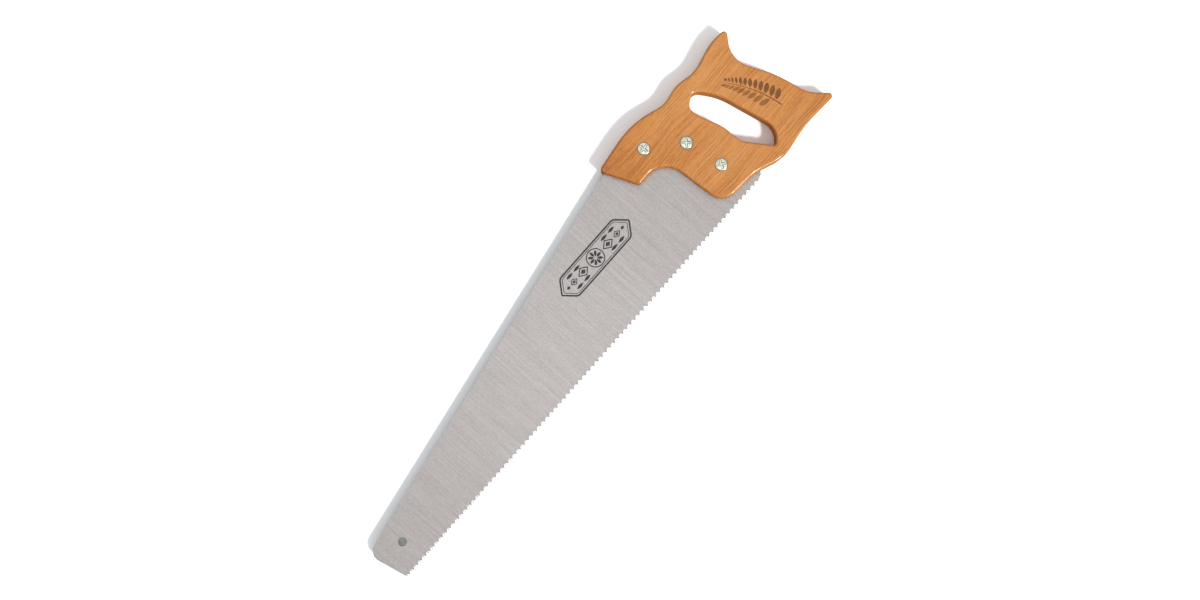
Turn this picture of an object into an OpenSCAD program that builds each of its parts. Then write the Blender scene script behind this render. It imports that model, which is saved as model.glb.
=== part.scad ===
// Hand saw: a tapered steel blade let into a one-piece wooden handle and held by three saw bolts.
// It lies flat on the handle's side. Millimetres, +X from toe to heel, +Y from teeth to back, +Z up.
// Plan places on the blade are measured from the toe end of the tooth line, and plan places on
// the handle from its heel end, along the teeth and then square to them towards the back.

/* [Blade] */
// Length of the tooth line, from toe to heel
blade_len = 550; // [500:5:600]
// Blade thickness
blade_t = 0.9; // [0.7:0.05:1.2]
// Width of the blade at the toe, square to the teeth
toe_w = 48; // [44:1:60]
// Width that the blade would reach at the heel, square to the teeth
heel_w = 142; // [140:1:143]
// Lean of the toe's edge from square, outwards towards the back
toe_lean = 12.3; // [6:0.1:16]
// Radius of the toe's back corner
toe_corner_r = 12; // [5:1:16]
// Lean of the heel's edge from square, inwards under the handle
heel_lean = 42; // [30:1:45]
// Diameter of the hanging hole
hang_d = 9.4; // [6:0.1:12]
// Hanging hole from the toe along the teeth
hang_x = 23.6; // [18:0.1:40]
// Hanging hole up from the tooth tips
hang_y = 28.6; // [20:0.1:32]

/* [Teeth] */
// Distance from tip to tip, eight to the inch
tooth_pitch = 3.175; // [2.5:0.025:4.5]
// Slope of the cutting face from square
rake = 25; // [10:1:30]
// Angle between a tooth's two faces
tooth_angle = 60; // [55:1:65]
// Angle at which the faces are filed across the blade
fleam = 20; // [5:1:25]
// How far each tip is bent out of the blade, to either side in turn
tooth_set = 0.42; // [0.1:0.01:0.5]

/* [Handle] */
// Thickness of the handle
handle_t = 22; // [20:0.5:26]
// Radius along the handle's edges
edge_r = 3; // [1.5:0.1:3.2]
// Space between the blade and each side of its slot
slot_side_gap = 0.05; // [0.02:0.01:0.1]
// Space between the blade and the end of its slot
slot_end_gap = 0.4; // [0.2:0.1:0.8]

/* [Saw bolts] */
// Diameter of the bolt and nut heads
head_d = 13.2; // [11:0.1:15]
// Depth to which the heads are let into the wood
head_rim = 1.6; // [1.2:0.1:2]
// Rise of a bolt head's rim above the wood
rim_rise = 0.4; // [0.2:0.1:0.6]
// Rise of its dome above the rim
head_crown = 0.9; // [0.6:0.1:1.2]
// Width of the arms of the cross recess in a bolt head
cross_w = 2.2; // [1.4:0.1:2.6]
// Length of those arms from end to end
cross_span = 10.6; // [7:0.1:10.8]
// Depth of the cross recess below the top of the dome
cross_depth = 1.2; // [0.8:0.1:1.5]
// Outer diameter of the bolt's thread
shank_d = 5; // [4.5:0.1:5.5]
// Distance between the threads
thread_pitch = 0.9; // [0.7:0.05:1.1]
// Outer diameter of the nut's barrel
barrel_d = 7.6; // [7:0.1:8]
// How far the nut heads sit below the surface of the wood
nut_recess = 0.3; // [0.2:0.05:0.5]
// Width of the screwdriver slot in a nut
slot_w = 1.6; // [1:0.1:2]
// Depth of that slot
slot_depth = 0.9; // [0.5:0.1:1]

/* [Hidden] */
$fn = 64;

steel = "#bcb7b4";
wood = "#d18a46";
zinc = "#c9c9b8";

// Largest turn of one straight piece of an arc
arc_step = 6;
// Straight pieces in the quarter round along an edge
edge_steps = 3;
// Points up a wall with two such edges
wall_points = 2 * (edge_steps + 1);
// Clearance round the heads and barrels in the wood
fit_gap = 0.15;
// Clearance round the shanks in wood and steel
shank_gap = 0.3;
// Clearance between the threads
thread_gap = 0.08;
// Depth of the thread
thread_depth = 0.45;
// Overlap of cuts past the surface that they open
past = 1;

// Metal between a nut's seat and the floor of its bore
bore_floor = 0.5;
// Free depth of that bore past the end of the bolt
bolt_end_gap = 0.5;

// The blade lies at half the handle's thickness
blade_z = handle_t / 2;
back_slope = (heel_w - toe_w) / blade_len;
tooth_count = floor(blade_len / tooth_pitch);
tooth_width_ratio = tan(rake) + tan(tooth_angle - rake);
// Shift of a gullet's ends towards toe and heel, by the slant of the file
file_shift = blade_t / 2 * tan(fleam);
tooth_depth = (tooth_pitch + 2 * file_shift) / tooth_width_ratio;
// Upper edge of the toothed strip, which reaches past the gullets
strip_rise = 1.2;
strip_y = tooth_depth + strip_rise;

// Heights of the nuts and of the bolts in them
nut_seat = nut_recess + head_rim;
nut_floor = nut_seat + bore_floor;
shank_end = nut_floor + bolt_end_gap;
barrel_top = blade_z - blade_t;

// Outline of the handle, clockwise from its front top corner: x, y, corner radius
HANDLE = [
    [-108.5, 129.5, 4], [-49.5, 138, 100], [-13.5, 124.5, 27], [9, 129, 37], [32.5, 123.5, 39],
    [67, 132, 60], [87.5, 129, 3.4], [65.5, 103.5, 30], [86, 60, 120], [93.5, 23, 36],
    [113, 1, 3.5], [66.5, 3, 100], [27, -3, 40], [-3.5, 9, 45], [-48.5, 12, 19],
    [-55, 89.5, 24.5], [-91, 89, 3.6]
];
// Outline of the hand hole, clockwise from its upper front corner: x, y, corner radius
HAND_HOLE = [
    [0.4, 103.2, 8.5], [15.6, 113.3, 9], [31, 89.5, 70], [46, 21.5, 20],
    [31, 12, 3], [11, 41.5, 18], [10, 66, 42], [1.5, 91, 40]
];
// The blade's end inside the handle, from the back down to the heel: x, y, corner radius
tang_x = -48;
TANG = [[tang_x, heel_w + tang_x * back_slope, 60], [2, 50, 40]];
// How far the heel's slanted edge rises, from the gullets up into the handle
heel_rise = 6;
heel_corner_r = 2;
// Places of the saw bolts
BOLTS = [[-61, 110.5], [-27.5, 82], [-20.5, 40.5]];
// How each bolt's cross recess and each nut's slot came to rest
BOLT_TURNS = [2, 46, 62];
NUT_TURNS = [20, 65, 110];

function unit(v) = v / norm(v);

// Points of the corner at q, between the edges from p and to s, rounded unless r is 0. Each is a
// place and the direction that leads out of an outline drawn clockwise.
function corner(p, q, s, r) =
    let (u = unit(p - q), w = unit(s - q))
    let (half = acos(u * w) / 2, side = cross(u, w) < 0 ? -1 : 1)
    r == 0 ? [[q, -side * unit(u + w) / sin(half)]] :
    let (centre = q + unit(u + w) * r / sin(half))
    let (first = q + u * r / tan(half) - centre, start = atan2(first.y, first.x))
    let (sweep = side * (180 - 2 * half), n = max(2, ceil(abs(sweep) / arc_step)))
    [for (k = [0:n]) let (a = start - sweep * k / n, d = [cos(a), sin(a)]) [centre + r * d, d * side]];

// A closed outline with all its corners rounded, as places and outward directions
function outline(points) =
    let (n = len(points), xy = [for (p = points) [p.x, p.y]])
    [for (i = [0:n - 1]) each corner(xy[(i + n - 1) % n], xy[i], xy[(i + 1) % n], points[i].z)];

// That outline drawn in by a distance
function drawn_in(line, d) = [for (p = line) p[0] - d * p[1]];

function moved(points, x) = [for (p = points) [p.x + x, p.y, p.z]];

handle_line = outline(moved(HANDLE, blade_len));
hole_line = outline(moved(HAND_HOLE, blade_len));

// Places along the toe's edge, the gullets and the heel's edge
function toe_x(y) = -y * tan(toe_lean);
function gullet_x(i) = toe_x(tooth_depth) + i * tooth_pitch;
function heel_x(y) = blade_len + (y - tooth_depth) * tan(heel_lean);

// The toe's back corner before it is rounded
toe_corner_y = toe_w / (1 + back_slope * tan(toe_lean));
back_and_heel = concat(
    [[toe_x(toe_corner_y), toe_corner_y, toe_corner_r]],
    moved(TANG, blade_len),
    [[heel_x(tooth_depth + heel_rise), tooth_depth + heel_rise, heel_corner_r],
     [heel_x(tooth_depth), tooth_depth, 0]]
);
// The blade down to the strip that carries the teeth
blade_line = outline(concat(
    [[toe_x(strip_y), strip_y, 0]],
    back_and_heel,
    [[gullet_x(tooth_count), tooth_depth, 0], [gullet_x(tooth_count), strip_y, 0]]
));
// The blade down to its gullets, for the slot in the handle
slot_line = outline(concat([[toe_x(tooth_depth), tooth_depth, 0]], back_and_heel));

// The middle of the object's outline in plan, which is set over the origin
toe_end = min([for (p = blade_line) p[0].x]);
rear_end = max([for (p = handle_line) p[0].x]);
low_side = min([for (p = handle_line) p[0].y]);
high_side = max([for (p = handle_line) p[0].y]);
middle = [(toe_end + rear_end) / 2, (low_side + high_side) / 2];

module placed() {
    translate([-middle.x, -middle.y, 0]) children();
}

module at_bolt(i) {
    translate([blade_len + BOLTS[i].x, BOLTS[i].y, 0]) children();
}

// The row of teeth under the blade's edge, filed across and set to either side in turn
module tooth_row() {
    n = tooth_count;
    h = blade_t / 2;
    shift = [for (i = [0:n]) i == 0 || i == n ? 0 : (i % 2 == 0 ? file_shift : -file_shift)];
    edge = [for (i = [0:n]) each [
        [i == 0 ? toe_x(strip_y) : gullet_x(i), strip_y, h],
        [i == 0 ? toe_x(strip_y) : gullet_x(i), strip_y, -h],
        [gullet_x(i) + shift[i], tooth_depth, h],
        [gullet_x(i) - shift[i], tooth_depth, -h]
    ]];
    tips = [for (i = [0:n - 1], side = [1, -1])
        let (x0 = gullet_x(i) + side * shift[i], x1 = gullet_x(i + 1) + side * shift[i + 1])
        let (d = (x1 - x0) / tooth_width_ratio)
        [x0 + d * tan(rake), tooth_depth - d, side * h + (i % 2 == 0 ? -tooth_set : tooth_set)]];
    t0 = len(edge);
    faces = [for (i = [0:n - 1])
        let (a = 4 * i, b = a + 4, t = t0 + 2 * i)
        each [
            [a, b, b + 2, a + 2], [a + 2, b + 2, t],
            [a + 1, a + 3, b + 3, b + 1], [a + 3, t + 1, b + 3],
            [a + 2, t, t + 1, a + 3], [t, b + 2, b + 3, t + 1],
            [b, a, a + 1, b + 1]
        ]];
    z = 4 * n;
    ends = [[0, 2, 3, 1], [z + 2, z, z + 1, z + 3]];
    polyhedron(concat(edge, tips), concat(faces, ends), convexity = 10);
}

module blade() {
    color(steel) placed() translate([0, 0, blade_z]) difference() {
        union() {
            linear_extrude(blade_t, center = true) polygon(drawn_in(blade_line, 0));
            tooth_row();
        }
        translate([hang_x, hang_y, 0]) cylinder(h = blade_t + 2 * past, d = hang_d, center = true);
        for (i = [0:2])
            at_bolt(i) cylinder(h = blade_t + 2 * past, d = shank_d + 2 * shank_gap, center = true);
    }
}

// Points round a closed outline, with a quarter round along its lower and its upper edge
function rounded_wall(line) =
    let (turn = [for (k = [0:edge_steps]) 90 * k / edge_steps])
    let (low = [for (a = turn) [edge_r * (1 - sin(a)), edge_r * (1 - cos(a))]])
    let (high = [for (k = [edge_steps:-1:0]) [low[k].x, handle_t - low[k].y]])
    [for (p = line, q = concat(low, high)) let (xy = p[0] - q.x * p[1]) [xy.x, xy.y, q.y]];

// Faces of such a wall of n places, from the point numbered first
function wall_faces(n, first) =
    [for (i = [0:n - 1], k = [0:wall_points - 2])
        let (a = first + i * wall_points + k, b = first + (i + 1) % n * wall_points + k)
        [a, b, b + 1, a + 1]];

// Whether the turn from p by way of q to s is clockwise
function clockwise(p, q, s) = cross(q - p, s - p) < 0;

// Triangles across the flat wood from outline a to outline b inside it, by the shorter way each time
function across(a, b, i = 0, j = 0) =
    let (n = len(a), m = len(b), p = a[i % n], q = b[j % m])
    i == n && j == m ? [] :
    let (next_p = a[(i + 1) % n], next_q = b[(j + 1) % m])
    let (shorter = norm(next_p - q) <= norm(p - next_q))
    let (on_a = j == m || (i < n && clockwise(p, next_p, q) && (shorter || !clockwise(p, next_q, q))))
    concat(
        [on_a ? [i, (i + 1) % n, n + j % m] : [i % n, n + (j + 1) % m, n + j % m]],
        across(a, b, on_a ? i + 1 : i, on_a ? j : j + 1)
    );

module handle_blank() {
    n = len(handle_line);
    m = len(hole_line);
    points = concat(rounded_wall(handle_line), rounded_wall([for (p = hole_line) [p[0], -p[1]]]));
    hole_faces = [for (f = wall_faces(m, n * wall_points)) [f[3], f[2], f[1], f[0]]];
    flat = across(drawn_in(handle_line, edge_r), drawn_in(hole_line, -edge_r));
    upper = [for (t = flat) [for (v = t) v * wall_points + wall_points - 1]];
    lower = [for (t = flat) [for (v = [t[2], t[1], t[0]]) v * wall_points]];
    polyhedron(points, concat(wall_faces(n, 0), hole_faces, upper, lower), convexity = 10);
}

// Holes for one bolt and its nut: head seat, shank, barrel and nut seat
module bolt_holes() {
    seat_d = head_d + 2 * fit_gap;
    translate([0, 0, handle_t - head_rim]) cylinder(h = head_rim + past, d = seat_d);
    translate([0, 0, blade_z]) cylinder(h = blade_z - head_rim / 2, d = shank_d + 2 * shank_gap);
    translate([0, 0, -past]) cylinder(h = blade_z + past, d = barrel_d + 2 * fit_gap);
    translate([0, 0, -past]) cylinder(h = nut_seat + past, d = seat_d);
}

module handle() {
    slot = blade_t + 2 * slot_side_gap;
    color(wood) placed() difference() {
        handle_blank();
        translate([0, 0, blade_z]) linear_extrude(slot, center = true)
            polygon(drawn_in(slot_line, -slot_end_gap));
        for (i = [0:2]) at_bolt(i) bolt_holes();
    }
}

// Outline of a thread between two heights, as radius and height, drawn upwards
function thread(r_crest, r_root, z0, z1) =
    let (n = floor((z1 - z0) / thread_pitch), step = (z1 - z0) / n)
    [for (k = [0:n - 1]) each [[r_crest, z0 + k * step], [r_root, z0 + (k + 0.5) * step]]];

// A domed head with a cross recess, on a shank that is threaded inside the nut
module saw_bolt(i) {
    r = shank_d / 2;
    seat = handle_t - head_rim;
    top = handle_t + rim_rise + head_crown;
    dome_r = (head_d * head_d / 4 + head_crown * head_crown) / (2 * head_crown);
    color(zinc) placed() at_bolt(i) difference() {
        union() {
            intersection() {
                translate([0, 0, seat]) cylinder(h = top - seat, d = head_d);
                translate([0, 0, top - dome_r]) sphere(dome_r);
            }
            rotate_extrude() polygon(concat(
                [[0, shank_end], [r - thread_depth, shank_end]],
                thread(r, r - thread_depth, shank_end + thread_pitch / 2, barrel_top),
                [[r, barrel_top], [r, seat + head_rim / 2], [0, seat + head_rim / 2]]
            ));
        }
        for (turn = [0, 90])
            rotate(BOLT_TURNS[i] + turn)
                translate([-cross_span / 2, -cross_w / 2, top - cross_depth])
                cube([cross_span, cross_w, cross_depth + past]);
    }
}

// A flat slotted head on a threaded barrel
module saw_nut(i) {
    r_in = shank_d / 2 + thread_gap;
    r_head = head_d / 2;
    r_barrel = barrel_d / 2;
    rounding = 0.3;
    bore = thread(r_in, r_in - thread_depth, shank_end + thread_pitch / 2, barrel_top);
    n = len(bore);
    color(zinc) placed() at_bolt(i) difference() {
        rotate_extrude() polygon(concat(
            [[0, nut_recess], [r_head - rounding, nut_recess], [r_head, nut_recess + rounding]],
            [[r_head, nut_seat], [r_barrel, nut_seat], [r_barrel, barrel_top], [r_in, barrel_top]],
            [for (k = [n - 1:-1:0]) bore[k]],
            [[r_in, nut_floor], [0, nut_floor]]
        ));
        rotate(NUT_TURNS[i]) translate([-head_d, -slot_w / 2, nut_recess - past])
            cube([2 * head_d, slot_w, slot_depth + past]);
    }
}

blade();
handle();
saw_bolt(0);  // saw_bolt_front
saw_bolt(1);  // saw_bolt_middle
saw_bolt(2);  // saw_bolt_rear
saw_nut(0);  // saw_nut_front
saw_nut(1);  // saw_nut_middle
saw_nut(2);  // saw_nut_rear
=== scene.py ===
"""Looks of a carpenter's hand saw that lies on one side of its handle, seen from straight above.

Blender works in metres. Sizes written here are in millimetres, and places on the handle are measured
from the heel end of the tooth line: along the teeth, then square to them towards the back.
"""
import math

import bmesh
import bpy
from mathutils import Matrix, Vector


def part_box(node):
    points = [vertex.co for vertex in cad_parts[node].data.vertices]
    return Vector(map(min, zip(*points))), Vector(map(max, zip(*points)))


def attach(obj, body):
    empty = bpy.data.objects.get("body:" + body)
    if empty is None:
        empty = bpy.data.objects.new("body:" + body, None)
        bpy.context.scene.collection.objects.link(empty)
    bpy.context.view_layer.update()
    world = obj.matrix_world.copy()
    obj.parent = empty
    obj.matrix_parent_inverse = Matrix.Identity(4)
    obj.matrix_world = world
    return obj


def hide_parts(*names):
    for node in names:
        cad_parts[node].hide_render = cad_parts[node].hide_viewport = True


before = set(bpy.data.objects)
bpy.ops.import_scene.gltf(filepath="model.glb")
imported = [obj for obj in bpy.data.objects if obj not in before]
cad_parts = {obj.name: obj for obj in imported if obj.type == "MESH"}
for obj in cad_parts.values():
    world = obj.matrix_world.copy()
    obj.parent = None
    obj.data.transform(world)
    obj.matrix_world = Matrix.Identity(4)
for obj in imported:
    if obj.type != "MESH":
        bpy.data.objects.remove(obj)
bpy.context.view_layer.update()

MM = 0.001
BODY = "root"
BOLT_NAMES = ("front", "middle", "rear")

# Handle: corners of its outline and of its hand hole, clockwise, as x, y and radius
HANDLE_T = 22
EDGE_R = 3
EDGE_STEPS = 7
ARC_STEP = math.radians(6)
HANDLE_CORNERS = (
    (-108.5, 129.5, 4), (-49.5, 138, 100), (-13.5, 124.5, 27), (9, 129, 37), (32.5, 123.5, 39),
    (67, 132, 60), (87.5, 129, 3.4), (65.5, 103.5, 30), (86, 60, 120), (93.5, 23, 36),
    (113, 1, 3.5), (66.5, 3, 100), (27, -3, 40), (-3.5, 9, 45), (-48.5, 12, 19),
    (-55, 89.5, 24.5), (-91, 89, 3.6),
)
HAND_HOLE_CORNERS = (
    (0.4, 103.2, 8.5), (15.6, 113.3, 9), (31, 89.5, 70), (46, 21.5, 20),
    (31, 12, 3), (11, 41.5, 18), (10, 66, 42), (1.5, 91, 40),
)
# Blade, and the slot for it in the handle, a little larger than the blade's end
BLADE_T = 0.9
SLOT_T = 1
SLOT_CORNERS = (
    (-150, 116.8, 0), (-48, 134.3, 60), (2.4, 50.1, 40), (5.9, 8.9, 2.4), (0.3, 2.6, 0), (-150, 2.6, 0),
)

# Saw bolts and nuts. Not lengths but shares are RIM_SINK, of the rim's rounding, CROSS_FLARE, of the
# recess's depth, and SLOT_END_ROUND, of a slot's width. Turns are in degrees.
BOLTS = ((-61, 110.5), (-27.5, 82), (-20.5, 40.5))
BOLT_TURNS = (2, 46, 62)
NUT_TURNS = (20, 65, 110)
HEAD_R = 6.6
HEAD_LET_IN = 1.6
HEAD_CHAMFER = 0.1
RIM_RISE = 0.4
RIM_ROUND = 0.55
RIM_SINK = 0.8
CROWN = 0.88
DOME_STEPS = 10
CROSS_FLOOR_W = 1.5
CROSS_FLOOR_SPAN = 9.8
CROSS_DEPTH = 1.2
CROSS_FLARE = 0.55
SHANK_R = 2.5
THREAD_PITCH = 0.9
THREAD_DEPTH = 0.45
THREAD_GAP = 0.08
SHANK_END = 2.9
BARREL_R = 3.8
BARREL_TOP = 10.1
NUT_RECESS = 0.3
NUT_FLOOR = 2.4
NUT_SLOT_W = 1.6
NUT_SLOT_DEPTH = 0.9
NUT_CHAMFER = 0.3
SLOT_END_ROUND = 0.35
BOLT_BEVEL = 0.12
NUT_BEVEL = 0.1
HOLE_GAP = 0.15
SHANK_HOLE_R = 2.8
CUT_PAST = 1
LATHE_STEPS = 72

# Ornaments: a leafy sprig burnt into the grip and a panel etched into the blade. STEM_TAPER is the share
# of its width that the stem loses, and LEAF_CROWDING the power by which the leaves close up.
MARK_SUNK = 0.02
MARK_RISE = 0.03
SPRIG_FOOT = (66, 35)
SPRIG_LENGTH = 62.5
SPRIG_TURN = 97
SPRIG_BEND = 27
STEM_W = 1.3
STEM_TAPER = 0.7
STEM_STEPS = 14
STEM_OVERLAP = 0.2
LEAF_GAP = 1.2
LEAF_SHRINK = 9
LEAF_CROWDING = 1.4
# Leaves on each side of the stem: how far up the lowest is, as a share, the greatest length, and the
# width to length and the lean in degrees of the lowest leaf and the last one
DEEP_LEAVES = dict(side=-1, count=13, lowest=0.12, longest=13, slimness=(0.48, 0.34), leans=(76, 68))
LIGHT_LEAVES = dict(side=1, count=10, lowest=0.21, longest=14, slimness=(0.39, 0.3), leans=(58, 34))
PANEL_MIDDLE = (-176.5, 73.7)
PANEL_CORNERS = ((-53, 0, 2), (-41, 14, 7), (41, 14, 7), (53, 0, 2), (41, -14, 7), (-41, -14, 7))
PANEL_INNER_CORNERS = (
    (-49, 0, 1.5), (-39.6, 11.4, 5), (39.6, 11.4, 5), (49, 0, 1.5), (39.6, -11.4, 5), (-39.6, -11.4, 5),
)
PANEL_LINE = 1.7
PANEL_INNER_LINE = 0.7
ROSETTE_R = 10
ROSETTE_LINE = 1.1
PETALS = 8
PETAL_SIZE = (6.6, 3)
PETAL_START = 1.6
# Diamonds on either side of the rosette: place along the panel, length and line. Shares of that length
# are a diamond's width, and the length and width of the filled core in it.
DIAMONDS = ((19, 15, 1.1), (33, 10, 0.9))
DIAMOND_W = 0.75
CORE_SIZE = (0.45, 0.34)
END_DIAMOND_AT = 41.5
END_DIAMOND_SIZE = (5, 3.6)
# Pairs of leaves beside the diamonds, pointing away from each other
LEAF_PAIR_AT = (26.5, 7.4)
LEAF_PAIR_GAP = 1
LEAF_PAIR_SIZE = (10, 2.6)

# Where the heel end of the tooth line is, from the front bolt in the frame
bolt_low, bolt_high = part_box("saw_bolt_front")
HEEL = (bolt_low + bolt_high) / 2 - Vector((*BOLTS[0], 0)) * MM
HEEL.z = 0
blade_low, blade_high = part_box("blade")
BLADE_Z = (blade_low.z + blade_high.z) / 2 / MM
BLADE_TOP = BLADE_Z + BLADE_T / 2


def at_heel(x, y, z=0):
    """A place on the handle in the frame, in metres."""
    return HEEL + Vector((x, y, z)) * MM


def drawing_at(x, y, turn=0.0):
    """Puts a drawing in millimetres at a place of the saw, turned by degrees."""
    turn_and_scale = Matrix.Rotation(math.radians(turn), 4, "Z") @ Matrix.Scale(MM, 4)
    return Matrix.Translation(at_heel(x, y)) @ turn_and_scale


def new_object(name, bm):
    """Turns a bmesh into an object at the origin, with its normals outwards."""
    bmesh.ops.remove_doubles(bm, verts=bm.verts[:], dist=0.001 * MM)
    bmesh.ops.recalc_face_normals(bm, faces=bm.faces[:])
    mesh = bpy.data.meshes.new(name)
    bm.to_mesh(mesh)
    bm.free()
    made = bpy.data.objects.new(name, mesh)
    bpy.context.scene.collection.objects.link(made)
    return made


def corner(bm, before, here, after, radius):
    """One corner of an outline, spun about its centre: its first and last vertex."""
    back = (before - here).normalized()
    on = (after - here).normalized()
    half = back.angle(on) / 2
    if radius == 0:
        sharp = bm.verts.new(here)
        return sharp, sharp
    centre = here + (back + on).normalized() * radius / math.sin(half)
    first = bm.verts.new(here + back * radius / math.tan(half))
    turn = math.copysign(math.pi - 2 * half, -back.cross(on).z)
    steps = max(2, math.ceil(abs(turn) / ARC_STEP))
    spun = bmesh.ops.spin(bm, geom=[first], cent=centre, axis=(0, 0, 1), angle=turn, steps=steps)
    return first, spun["geom_last"][0]


def outline_face(bm, corners, height, drawing):
    """A flat face whose outline has straight stretches and arcs."""
    places = [drawing @ Vector((x, y, height)) for x, y, _ in corners]
    before = len(bm.edges)
    ends = [
        corner(bm, places[i - 1], places[i], places[(i + 1) % len(places)], corners[i][2] * MM)
        for i in range(len(corners))
    ]
    for i, (first, _) in enumerate(ends):
        bm.edges.new((ends[i - 1][1], first))
    bm.edges.ensure_lookup_table()
    return bmesh.ops.contextual_create(bm, geom=bm.edges[before:])["faces"]


def thicken(bm, faces, height):
    """Raises flat faces into solids."""
    raised = bmesh.ops.extrude_face_region(bm, geom=faces)["geom"]
    lifted = [part for part in raised if isinstance(part, bmesh.types.BMVert)]
    bmesh.ops.translate(bm, verts=lifted, vec=(0, 0, height * MM))


def prism(name, corners, low, high):
    """A solid with straight sides between two heights."""
    bm = bmesh.new()
    thicken(bm, outline_face(bm, corners, low, drawing_at(0, 0)), high - low)
    return new_object(name, bm)


def lathe(name, profile, place):
    """A solid of revolution from a profile of radius and height, stood at a place."""
    bm = bmesh.new()
    verts = [bm.verts.new((r * MM, 0, z * MM)) for r, z in profile]
    edges = [bm.edges.new(pair) for pair in zip(verts, verts[1:])]
    bmesh.ops.spin(
        bm, geom=verts + edges, cent=(0, 0, 0), axis=(0, 0, 1), angle=2 * math.pi,
        steps=LATHE_STEPS, use_merge=True,
    )
    bmesh.ops.translate(bm, verts=bm.verts[:], vec=place)
    return new_object(name, bm)


def cut(body, cutter):
    """Takes the cutter's shape out of the body's mesh."""
    boolean = body.modifiers.new("cut", "BOOLEAN")
    boolean.operation = "DIFFERENCE"
    boolean.solver = "EXACT"
    boolean.object = cutter
    bpy.context.view_layer.update()
    seen = body.evaluated_get(bpy.context.evaluated_depsgraph_get())
    mesh = bpy.data.meshes.new_from_object(seen)
    body.modifiers.clear()
    body.data = mesh
    mesh.name = body.name
    bpy.data.objects.remove(cutter)


def shade(piece, finish, sharp_from=35):
    """Smooth shading that keeps flat faces flat and edges over an angle sharp."""
    piece.data.materials.clear()
    piece.data.materials.append(finish)
    piece.data.shade_smooth()
    piece.data.set_sharp_from_angle(angle=math.radians(sharp_from))
    weighted = piece.modifiers.new("flat_sides", "WEIGHTED_NORMAL")
    weighted.keep_sharp = True


def joins(piece, slot, *nodes):
    """The piece rides on the saw and stands for the nodes, which it hides. The slot is not used."""
    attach(piece, BODY)
    if nodes:
        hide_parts(*nodes)


# Materials

LACQUER_ROUGHNESS = 0.17


def srgb(red, green, blue):
    """A colour of 0 to 255 as the eye sees it, in the renderer's linear values."""
    shares = (red / 255, green / 255, blue / 255)
    linear = [((v + 0.055) / 1.055) ** 2.4 if v > 0.04045 else v / 12.92 for v in shares]
    return (*linear, 1)


class Field:
    """A value over a surface: one output of a material's nodes."""

    def __init__(self, tree, socket=None):
        self.tree = tree
        self.socket = socket

    def node(self, kind, settings=None, inputs=None, output=0):
        """A new node: its settings are set first, then its sockets get values or links."""
        made = self.tree.nodes.new(kind)
        for name, value in (settings or {}).items():
            if name == "stops":
                while len(made.color_ramp.elements) < len(value):
                    made.color_ramp.elements.new(1)
                for element, (position, colour) in zip(made.color_ramp.elements, value):
                    element.position = position
                    element.color = colour
            else:
                setattr(made, name, value)
        for name, value in (inputs or {}).items():
            if isinstance(value, Field):
                self.tree.links.new(value.socket, made.inputs[name])
            else:
                made.inputs[name].default_value = value
        return Field(self.tree, made.outputs[output])

    def feeds(self, node, name):
        """Links the value to one of a node's sockets."""
        self.tree.links.new(self.socket, node.inputs[name])

    def math(self, operation, *others):
        """One step of arithmetic, with other values or plain numbers."""
        return self.node("ShaderNodeMath", {"operation": operation}, dict(enumerate((self, *others))))

    def __add__(self, other):
        return self.math("ADD", other)

    def __sub__(self, other):
        return self.math("SUBTRACT", other)

    def __rsub__(self, other):
        return self.node("ShaderNodeMath", {"operation": "SUBTRACT"}, {0: other, 1: self})

    def __mul__(self, other):
        return self.math("MULTIPLY", other)

    def between(self, low, high):
        """0 up to low, 1 from high, and smooth between."""
        return self.node(
            "ShaderNodeMapRange", {"interpolation_type": "SMOOTHSTEP"},
            {"Value": self, "From Min": low, "From Max": high},
        )

    def blend(self, first, second):
        """From the first colour to the second as the value goes from 0 to 1."""
        return self.node(
            "ShaderNodeMix", {"data_type": "RGBA"}, {0: self, 6: first, 7: second}, output=2
        )

    def noise(self, grain, detail=2.0, shift=(0, 0, 0)):
        """Noise at a place, whose grains are that many millimetres along X, Y and Z."""
        scale = tuple(1 / (size * MM) for size in grain)
        place = self.node(
            "ShaderNodeMapping", None, {"Vector": self, "Location": shift, "Scale": scale}
        )
        return self.node("ShaderNodeTexNoise", None, {"Vector": place, "Scale": 1, "Detail": detail})


def new_finish(name, **constants):
    """A material, its surface's places and its shader, with what is the same all over set."""
    made = bpy.data.materials.new(name)
    made.use_nodes = True
    shader = made.node_tree.nodes["Principled BSDF"]
    for socket, value in constants.items():
        shader.inputs[socket.replace("_", " ")].default_value = value
    place = Field(made.node_tree).node("ShaderNodeTexCoord", output="Object")
    return made, place, shader


def facing(field, axis):
    """How far a surface faces along an axis: 1 square to it, 0 beside it, below 0 the other way."""
    normal = field.node("ShaderNodeNewGeometry", output="Normal")
    return normal.node("ShaderNodeSeparateXYZ", None, {0: normal}, output=axis)


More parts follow.
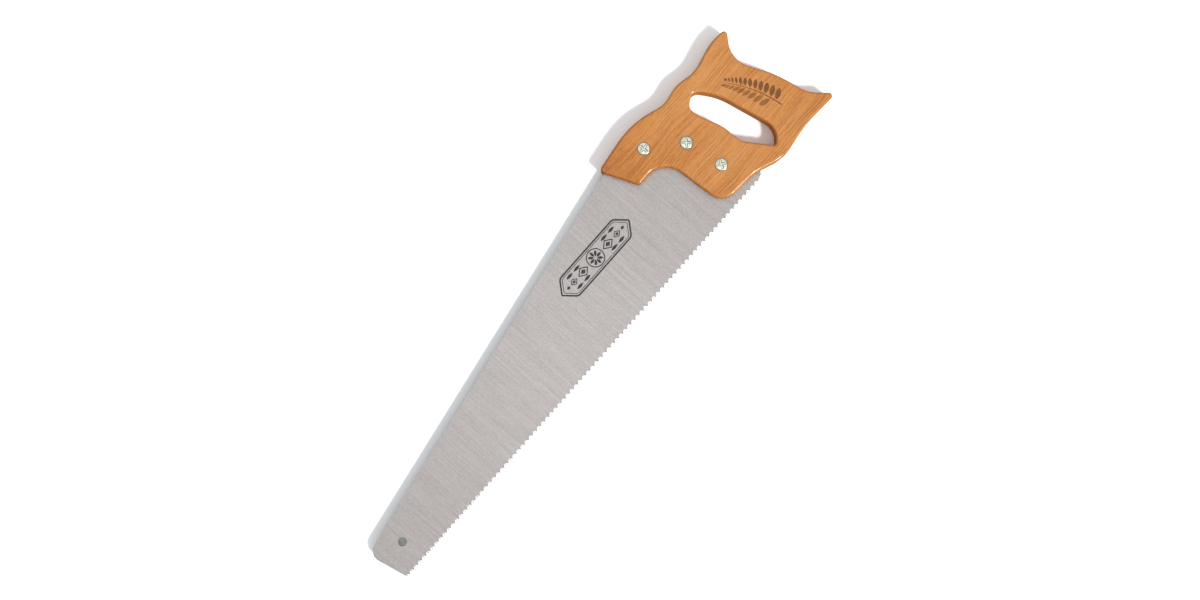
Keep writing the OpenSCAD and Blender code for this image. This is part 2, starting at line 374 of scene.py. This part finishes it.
def lacquered_wood():
    """Straight-grained hardwood, darker at its ends. Its edges soak up the lacquer, its sides shine."""
    made, place, shader = new_finish(
        "lacquered_wood", Coat_Roughness=LACQUER_ROUGHNESS, Specular_IOR_Level=0
    )
    wander = place.noise((70, 24, 30), 2) - 0.5
    sideways = place.node("ShaderNodeCombineXYZ", None, {"Y": wander * (11 * MM)})
    bent = place.node("ShaderNodeVectorMath", {"operation": "ADD"}, {0: place, 1: sideways})
    rings = place.node("ShaderNodeMapping", None, {"Vector": bent, "Rotation": (math.radians(28), 0, 0)})
    broad = rings.noise((150, 13, 15), 1)
    streaks = rings.noise((45, 1.2, 1.7), 2, (3, 7, 1))
    fibres = rings.noise((6, 0.9, 1.1), 2, (9, 2, 5))
    along = place.node("ShaderNodeSeparateXYZ", None, {0: place}, output="X")
    rear = along.between(HEEL.x - 100 * MM, HEEL.x)
    nose = along.between(HEEL.x - 70 * MM, HEEL.x - 110 * MM)
    horn = along.between(HEEL.x + 50 * MM, HEEL.x + 100 * MM)
    ends = nose * 0.12 + horn * 0.08
    tone = broad * 0.2 + streaks * 0.5 + fibres * 0.75 + rear * 0.14 - ends - 0.26
    colour = tone.node("ShaderNodeValToRGB", {"stops": (
        (0.25, srgb(172, 96, 30)), (0.42, srgb(197, 121, 46)),
        (0.56, srgb(212, 140, 68)), (0.75, srgb(225, 157, 88)),
    )}, {"Fac": tone})
    level = facing(place, "Z").math("ABSOLUTE")
    late = streaks.between(0.5, 0.36) * 0.26 + fibres.between(0.54, 0.66) * 0.36
    (late * (level * 0.5 + 0.5)).blend(colour, srgb(136, 78, 42)).feeds(shader, "Base Color")
    (streaks * 0.2 + 0.32).feeds(shader, "Roughness")
    (level.between(0.55, 0.9) * 0.9 + 0.1).feeds(shader, "Coat Weight")
    relief = fibres * 0.6 + streaks * 0.4
    relief.node(
        "ShaderNodeBump", None, {"Strength": 0.2, "Distance": 0.04 * MM, "Height": relief}
    ).feeds(shader, "Normal")
    return made


def ground_steel():
    """Warm grey spring steel, ground across the blade, with a painted highlight on teeth that tilt
    towards the key light.
    """
    made, place, shader = new_finish("ground_steel", Metallic=1)
    lines = place.noise((0.8, 50, 5), 3)
    bands = place.noise((2.2, 140, 5), 1, (5, 1, 2))
    specks = place.noise((0.9, 1.6, 5), 2, (2, 8, 3))
    tone = lines * 0.42 + bands * 0.1 + specks * 0.48
    plate = tone.between(0.25, 0.75).blend(srgb(153, 148, 146), srgb(187, 182, 180))
    # Painted highlight: tooth faces that tilt towards the toothed side, where the key light stands, are
    # painted brighter.
    tooth_painted_highlight = facing(place, "Y").between(-0.05, -0.11)
    tooth_painted_highlight.blend(plate, srgb(190, 186, 183)).feeds(shader, "Base Color")
    (lines * 0.12 + 0.3).feeds(shader, "Roughness")
    lines.node(
        "ShaderNodeBump", None, {"Strength": 0.12, "Distance": 0.02 * MM, "Height": lines}
    ).feeds(shader, "Normal")
    return made


def plated_zinc():
    """Pale zinc plate with a fine crystal pattern, a painted dark bluish reflection towards the rim of a
    head and painted shade on steep faces.
    """
    made, place, shader = new_finish("plated_zinc", Metallic=1)
    plan = place.node("ShaderNodeVectorMath", {"operation": "MULTIPLY"}, {0: place, 1: (1, 1, 0)})
    front, middle, rear = (
        plan.node("ShaderNodeVectorMath", {"operation": "DISTANCE"}, {0: plan, 1: at_heel(x, y)}, "Value")
        for x, y in BOLTS
    )
    from_axis = front.math("MINIMUM", middle).math("MINIMUM", rear)
    # Painted reflection: the outer rim of each head is painted darker and bluish, as if it mirrored
    # darker surroundings.
    rim = from_axis.between(0.78 * HEAD_R * MM, 0.96 * HEAD_R * MM)
    crystal = place.node(
        "ShaderNodeTexVoronoi", {"feature": "F1"}, {"Vector": place, "Scale": 900.0}, output="Color"
    )
    crystal_shade = crystal.node("ShaderNodeSeparateColor", None, {0: crystal})
    smears = place.noise((1.2, 1.2, 1.2), 3)
    tone = crystal_shade * 0.3 + smears * 0.7
    plate = tone.between(0.35, 0.65).blend(srgb(198, 200, 182), srgb(242, 242, 220))
    rim_painted_dark = rim.blend(plate, srgb(128, 138, 146))
    # Painted shade: steep faces, such as the walls of the cross recess, are painted dark grey.
    steep_painted_shade = facing(place, "Z").math("ABSOLUTE").between(0.9, 0.6)
    steep_painted_shade.blend(rim_painted_dark, srgb(100, 104, 104)).feeds(shader, "Base Color")
    (tone * 0.16 + 0.16).feeds(shader, "Roughness")
    tone.node(
        "ShaderNodeBump", None, {"Strength": 0.3, "Distance": 0.04 * MM, "Height": tone}
    ).feeds(shader, "Normal")
    return made


def burnt_wood(name, deep, light):
    """Wood that was burnt brown under the lacquer."""
    made, place, shader = new_finish(
        name, Coat_Weight=1, Coat_Roughness=LACQUER_ROUGHNESS, Specular_IOR_Level=0
    )
    streaks = place.noise((30, 1.2, 3), 3)
    streaks.between(0.3, 0.7).blend(deep, light).feeds(shader, "Base Color")
    (streaks * 0.2 + 0.4).feeds(shader, "Roughness")
    return made


def etched_steel():
    """Steel that acid has turned dull and dark."""
    made, place, shader = new_finish("etched_steel")
    specks = place.noise((0.4, 0.8, 1), 2)
    specks.between(0.3, 0.7).blend(srgb(22, 21, 21), srgb(46, 44, 43)).feeds(shader, "Base Color")
    (specks * 0.2 + 0.5).feeds(shader, "Roughness")
    return made


# Handle


def bolt_hole(place):
    """The stepped hole for one bolt and its nut, as a cutter."""
    seat_r = HEAD_R + HOLE_GAP
    barrel_r = BARREL_R + HOLE_GAP
    nut_seat = NUT_RECESS + HEAD_LET_IN
    head_seat = HANDLE_T - HEAD_LET_IN
    return lathe("bolt_hole", (
        (0, -CUT_PAST), (seat_r, -CUT_PAST), (seat_r, nut_seat), (barrel_r, nut_seat),
        (barrel_r, BLADE_Z), (SHANK_HOLE_R, BLADE_Z), (SHANK_HOLE_R, head_seat), (seat_r, head_seat),
        (seat_r, HANDLE_T + CUT_PAST), (0, HANDLE_T + CUT_PAST),
    ), place)


def round_edges(body):
    """Rounds the edges where the sides of the handle meet its walls."""
    bm = bmesh.new()
    bm.from_mesh(body.data)
    sides = (0, HANDLE_T * MM)
    rims = [
        edge for edge in bm.edges
        if any(all(abs(v.co.z - side) < 0.01 * MM for v in edge.verts) for side in sides)
        and edge.calc_face_angle(0) > math.radians(60)
    ]
    bmesh.ops.bevel(
        bm, geom=rims, offset=EDGE_R * MM, offset_type="OFFSET", segments=EDGE_STEPS, profile=0.5,
        affect="EDGES", material=-1, clamp_overlap=False, loop_slide=True,
    )
    bm.to_mesh(body.data)
    bm.free()


def wooden_handle():
    """The handle, with its hand hole, rounded edges, blade slot and bolt holes."""
    handle = prism("wooden_handle", HANDLE_CORNERS, 0, HANDLE_T)
    cut(handle, prism("hand_hole", HAND_HOLE_CORNERS, -CUT_PAST, HANDLE_T + CUT_PAST))
    round_edges(handle)
    cut(handle, prism("slot", SLOT_CORNERS, BLADE_Z - SLOT_T / 2, BLADE_Z + SLOT_T / 2))
    for x, y in BOLTS:
        cut(handle, bolt_hole(at_heel(x, y)))
    shade(handle, lacquered_wood(), sharp_from=40)
    joins(handle, "handle_wood", "handle")


# Saw bolts and nuts


def thread(crest, root, low, high):
    """Rings of a thread between two heights, as radius and height, drawn upwards."""
    count = int((high - low) / THREAD_PITCH)
    step = (high - low) / count
    return [
        point for k in range(count)
        for point in ((crest, low + k * step), (root, low + (k + 0.5) * step))
    ]


def slot_cutter(name, length, width, low, high, turn, place, flare=0):
    """A bar with rounded ends that cuts a driver slot, its length and width given at its low end."""
    bm = bmesh.new()
    bmesh.ops.create_cube(bm, size=1)
    upright = [edge for edge in bm.edges if abs(edge.verts[0].co.z - edge.verts[1].co.z) > 0.5]
    bmesh.ops.scale(bm, verts=bm.verts[:], vec=(length * MM, width * MM, (high - low) * MM))
    bmesh.ops.bevel(
        bm, geom=upright, offset=width * SLOT_END_ROUND * MM, segments=4, profile=0.5,
        affect="EDGES", material=-1,
    )
    mouth = [v for v in bm.verts if v.co.z > 0]
    wider = 2 * flare * (high - low)
    bmesh.ops.scale(bm, verts=mouth, vec=(1 + wider / length, 1 + wider / width, 1))
    rotation = Matrix.Rotation(math.radians(turn), 3, "Z")
    bmesh.ops.rotate(bm, verts=bm.verts[:], cent=(0, 0, 0), matrix=rotation)
    bmesh.ops.translate(bm, verts=bm.verts[:], vec=place + Vector((0, 0, (low + high) / 2 * MM)))
    return new_object(name, bm)


def break_edges(piece, width):
    """A small bevel along a turned piece's sharp edges."""
    bevel = piece.modifiers.new("broken_edges", "BEVEL")
    bevel.width = width * MM
    bevel.segments = 2
    bevel.limit_method = "ANGLE"
    bevel.angle_limit = math.radians(40)


def domed_bolt(name, place, turn, finish):
    """A bolt with a domed head, a cross recess in it and rings of thread on its shank."""
    seat = HANDLE_T - HEAD_LET_IN
    top = HANDLE_T + RIM_RISE + CROWN
    dome_r = (HEAD_R**2 + CROWN**2) / (2 * CROWN)
    radii = [HEAD_R * k / DOME_STEPS for k in range(DOME_STEPS - 1, -1, -1)]
    dome = [(r, top - dome_r + math.sqrt(dome_r**2 - r**2)) for r in radii]
    rim = [
        (HEAD_R - RIM_ROUND * (1 - math.cos(a)), top - CROWN - RIM_ROUND * (RIM_SINK - math.sin(a)))
        for a in map(math.radians, range(0, 90, 15))
    ]
    bolt = lathe(name, (
        (0, SHANK_END), (SHANK_R - THREAD_DEPTH, SHANK_END),
        *thread(SHANK_R, SHANK_R - THREAD_DEPTH, SHANK_END + THREAD_PITCH / 2, BARREL_TOP),
        (SHANK_R, BARREL_TOP), (SHANK_R, seat),
        (HEAD_R - HEAD_CHAMFER, seat), (HEAD_R, seat + HEAD_CHAMFER), *rim, *dome,
    ), place)
    for arm_turn in (turn, turn + 90):
        cut(bolt, slot_cutter(
            "cross", CROSS_FLOOR_SPAN, CROSS_FLOOR_W, top - CROSS_DEPTH, top + CUT_PAST,
            arm_turn, place, CROSS_FLARE,
        ))
    break_edges(bolt, BOLT_BEVEL)
    shade(bolt, finish)
    return bolt


def slotted_nut(name, place, turn, finish):
    """A barrel nut with a flat slotted head."""
    bore_r = SHANK_R + THREAD_GAP
    bore = thread(bore_r, bore_r - THREAD_DEPTH, SHANK_END + THREAD_PITCH / 2, BARREL_TOP)
    seat = NUT_RECESS + HEAD_LET_IN
    nut = lathe(name, (
        (0, NUT_RECESS), (HEAD_R - NUT_CHAMFER, NUT_RECESS), (HEAD_R, NUT_RECESS + NUT_CHAMFER),
        (HEAD_R, seat), (BARREL_R, seat), (BARREL_R, BARREL_TOP), (bore_r, BARREL_TOP),
        *bore[::-1], (bore_r, NUT_FLOOR), (0, NUT_FLOOR),
    ), place)
    slot_floor = NUT_RECESS + NUT_SLOT_DEPTH
    across = 3 * HEAD_R
    cut(nut, slot_cutter("slot", across, NUT_SLOT_W, NUT_RECESS - CUT_PAST, slot_floor, turn, place))
    break_edges(nut, NUT_BEVEL)
    shade(nut, finish)
    return nut


def fasteners():
    """The three bolts and their nuts."""
    finish = plated_zinc()
    for name, (x, y), bolt_turn, nut_turn in zip(BOLT_NAMES, BOLTS, BOLT_TURNS, NUT_TURNS):
        place = at_heel(x, y)
        bolt = domed_bolt(f"domed_bolt_{name}", place, bolt_turn, finish)
        joins(bolt, "bolt_zinc", f"saw_bolt_{name}")
        nut = slotted_nut(f"slotted_nut_{name}", place, nut_turn, finish)
        joins(nut, "bolt_zinc", f"saw_nut_{name}")


def dress_blade():
    """The blade keeps its own shape and gets its steel."""
    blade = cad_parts["blade"]
    blade.data.materials.clear()
    blade.data.materials.append(ground_steel())


# Ornaments


def mark(bm, corners, drawing, surface, line=None):
    """A thin raised mark on a surface, filled or drawn as a line along its outline."""
    faces = outline_face(bm, corners, surface - MARK_SUNK, drawing)
    if line:
        drawn = bmesh.ops.inset_region(
            bm, faces=faces, thickness=line * MM, use_boundary=True, use_even_offset=True
        )["faces"]
        bmesh.ops.delete(bm, geom=faces, context="FACES")
        faces = drawn
    thicken(bm, faces, MARK_SUNK + MARK_RISE)


def almond(length, width):
    """Corners of a leaf that points along X, with a blunt tip."""
    bulge = 0.85 * width
    arc = 0.65 * length
    tip = 0.17 * width
    return ((0, 0, 0), (0.5 * length, bulge, arc), (length, 0, tip), (0.5 * length, -bulge, arc))


def diamond(length, width):
    """Corners of a diamond about the middle of its drawing."""
    return ((-length / 2, 0, 0), (0, width / 2, 0), (length / 2, 0, 0), (0, -width / 2, 0))


def ring(radius):
    """Corners that are rounded into a circle, just short of where the arcs would meet."""
    arc = 0.999 * radius
    return tuple((x * radius, y * radius, arc) for x, y in ((-1, 1), (1, 1), (1, -1), (-1, -1)))


def turned(x, y, turn):
    """Puts a smaller drawing inside another one, turned by degrees."""
    return Matrix.Translation((x, y, 0)) @ Matrix.Rotation(math.radians(turn), 4, "Z")


def on_stem(share):
    """The place and direction at a share of the way up the sprig's bent stem."""
    bend = math.radians(SPRIG_BEND)
    bend_r = SPRIG_LENGTH / bend
    here = bend * share
    return turned(bend_r * math.sin(here), bend_r * (1 - math.cos(here)), math.degrees(here))


def stem(bm, sprig):
    """The sprig's stem, in short strips that grow thinner towards its tip."""
    length = SPRIG_LENGTH / STEM_STEPS + STEM_OVERLAP
    for k in range(STEM_STEPS):
        half = STEM_W / 2 * (1 - STEM_TAPER * k / STEM_STEPS)
        strip = ((0, half, 0), (length, half, 0), (length, -half, 0), (0, -half, 0))
        mark(bm, strip, sprig @ on_stem(k / STEM_STEPS), HANDLE_T)


def leaves(bm, sprig, side, count, lowest, longest, slimness, leans):
    """The leaves on one side of the stem, smaller and closer together towards its tip."""
    for k in range(count):
        up = 1 - (1 - k / (count - 1)) ** LEAF_CROWDING
        share = lowest + (1 - lowest) * up
        length = longest - LEAF_SHRINK * share**2
        width = length * (slimness[0] + (slimness[1] - slimness[0]) * up)
        lean = leans[0] + (leans[1] - leans[0]) * up
        leaf = sprig @ on_stem(share) @ turned(0, side * LEAF_GAP, side * lean)
        mark(bm, almond(length, width), leaf, HANDLE_T)


def leafy_sprig():
    """A sprig burnt into the grip, deeper on one side of its stem."""
    sprig = drawing_at(*SPRIG_FOOT, SPRIG_TURN)
    deep = bmesh.new()
    stem(deep, sprig)
    leaves(deep, sprig, **DEEP_LEAVES)
    light = bmesh.new()
    leaves(light, sprig, **LIGHT_LEAVES)
    deep_brown = burnt_wood("burnt_wood_deep", srgb(112, 65, 14), srgb(139, 85, 26))
    light_brown = burnt_wood("burnt_wood_light", srgb(142, 86, 30), srgb(169, 107, 44))
    for name, bm, finish in (("deep", deep, deep_brown), ("light", light, light_brown)):
        piece = new_object(f"leafy_sprig_{name}", bm)
        piece.data.materials.append(finish)
        joins(piece, "handle_wood")


def etched_panel():
    """A framed rosette between diamonds and leaves, etched into the blade."""
    panel = drawing_at(*PANEL_MIDDLE)
    bm = bmesh.new()
    mark(bm, PANEL_CORNERS, panel, BLADE_TOP, PANEL_LINE)
    mark(bm, PANEL_INNER_CORNERS, panel, BLADE_TOP, PANEL_INNER_LINE)
    mark(bm, ring(ROSETTE_R), panel, BLADE_TOP, ROSETTE_LINE)
    for k in range(PETALS):
        petal = panel @ turned(0, 0, 360 * k / PETALS) @ turned(PETAL_START, 0, 0)
        mark(bm, almond(*PETAL_SIZE), petal, BLADE_TOP)
    leaf_along, leaf_out = LEAF_PAIR_AT
    for side in (-1, 1):
        for middle, length, line in DIAMONDS:
            here = panel @ turned(side * middle, 0, 0)
            mark(bm, diamond(length, DIAMOND_W * length), here, BLADE_TOP, line)
            mark(bm, diamond(*(share * length for share in CORE_SIZE)), here, BLADE_TOP)
        mark(bm, diamond(*END_DIAMOND_SIZE), panel @ turned(side * END_DIAMOND_AT, 0, 0), BLADE_TOP)
        for edge in (-1, 1):
            for end in (1, -1):
                along = side * (leaf_along + end * LEAF_PAIR_GAP / 2)
                leaf = panel @ turned(along, edge * leaf_out, 90 - 90 * side * end)
                mark(bm, almond(*LEAF_PAIR_SIZE), leaf, BLADE_TOP)
    piece = new_object("etched_panel", bm)
    piece.data.materials.append(etched_steel())
    joins(piece, "blade_steel")


# Camera, light and floor, in metres and degrees

CAMERA_HEIGHT = 1.3
CAMERA_OVER = (0.01874, -0.02522)
CAMERA_TURN = -48.45
FOCAL_PIXELS = 1254
IMAGE_WIDTH = 1200
KEY_HEIGHT_ANGLE = 48.5
KEY_TURN = 2
KEY_SPREAD = 8
KEY_SHARE = 0.5
SKY_SHARE = 0.5
SOFT_BOX_OVER = (-0.166, -0.025)
SOFT_BOX_SIZE = 0.5
SOFT_BOX_HEIGHT = 2.2
SOFT_BOX_RADIANCE = 1.0
FLOOR_HALF = 6
FLOOR_SEEN = (1.48, 1.52, 1.555, 1)
FLOOR_MIRRORED = (0.8, 0.8, 0.8, 1)
FLOOR_LIT = (0.4, 0.4, 0.4, 1)


def link(name, data):
    """A new camera or lamp in the scene."""
    made = bpy.data.objects.new(name, data)
    bpy.context.scene.collection.objects.link(made)
    return made


def camera():
    """Looks straight down, turned as the photograph is."""
    data = bpy.data.cameras.new("camera")
    data.sensor_width = 36
    data.lens = data.sensor_width * FOCAL_PIXELS / IMAGE_WIDTH
    made = link("camera", data)
    made.location = (*CAMERA_OVER, CAMERA_HEIGHT)
    made.rotation_euler = (0, 0, math.radians(CAMERA_TURN))
    bpy.context.scene.camera = made


def shown_rays(tree):
    """1 for the camera's own rays, and 1 for those that it sees in a reflection or through glass."""
    camera_ray, glossy_ray, transmission_ray, scattered = (
        Field(tree).node("ShaderNodeLightPath", output=name)
        for name in ("Is Camera Ray", "Is Glossy Ray", "Is Transmission Ray", "Diffuse Depth")
    )
    straight = 1 - scattered.math("MINIMUM", 1)
    return camera_ray, (glossy_ray + transmission_ray).math("MINIMUM", 1) * straight


def lamps():
    """A key light from the toothed side, a soft box above and an even sky."""
    key = bpy.data.lights.new("key", "SUN")
    key.angle = math.radians(KEY_SPREAD)
    key.energy = KEY_SHARE * math.pi / math.sin(math.radians(KEY_HEIGHT_ANGLE))
    link("key", key).rotation_euler = (math.radians(90 - KEY_HEIGHT_ANGLE), 0, math.radians(KEY_TURN))
    box = bpy.data.lights.new("soft_box", "AREA")
    box.size = SOFT_BOX_SIZE
    box.energy = SOFT_BOX_RADIANCE * math.pi * SOFT_BOX_SIZE**2
    link("soft_box", box).location = (*SOFT_BOX_OVER, SOFT_BOX_HEIGHT)
    sky = bpy.data.worlds.new("sky")
    bpy.context.scene.world = sky
    sky.use_nodes = True
    background = sky.node_tree.nodes["Background"]
    background.inputs["Color"].default_value = (1, 1, 1, 1)
    seen, mirrored = shown_rays(sky.node_tree)
    ((seen + mirrored) * (1 - SKY_SHARE) + SKY_SHARE).feeds(background, "Strength")


def floor():
    """A plain white floor that keeps the shadow."""
    bm = bmesh.new()
    bmesh.ops.create_grid(bm, x_segments=1, y_segments=1, size=FLOOR_HALF)
    made = new_object("floor", bm)
    paint = bpy.data.materials.new("white_floor")
    paint.use_nodes = True
    shader = paint.node_tree.nodes["Principled BSDF"]
    shader.inputs["Roughness"].default_value = 1
    shader.inputs["Specular IOR Level"].default_value = 0
    seen, mirrored = shown_rays(paint.node_tree)
    seen.blend(mirrored.blend(FLOOR_LIT, FLOOR_MIRRORED), FLOOR_SEEN).feeds(shader, "Base Color")
    made.data.materials.append(paint)


bpy.context.scene.view_settings.view_transform = "Standard"
camera()
lamps()
floor()
dress_blade()
wooden_handle()
fasteners()
leafy_sprig()
etched_panel()
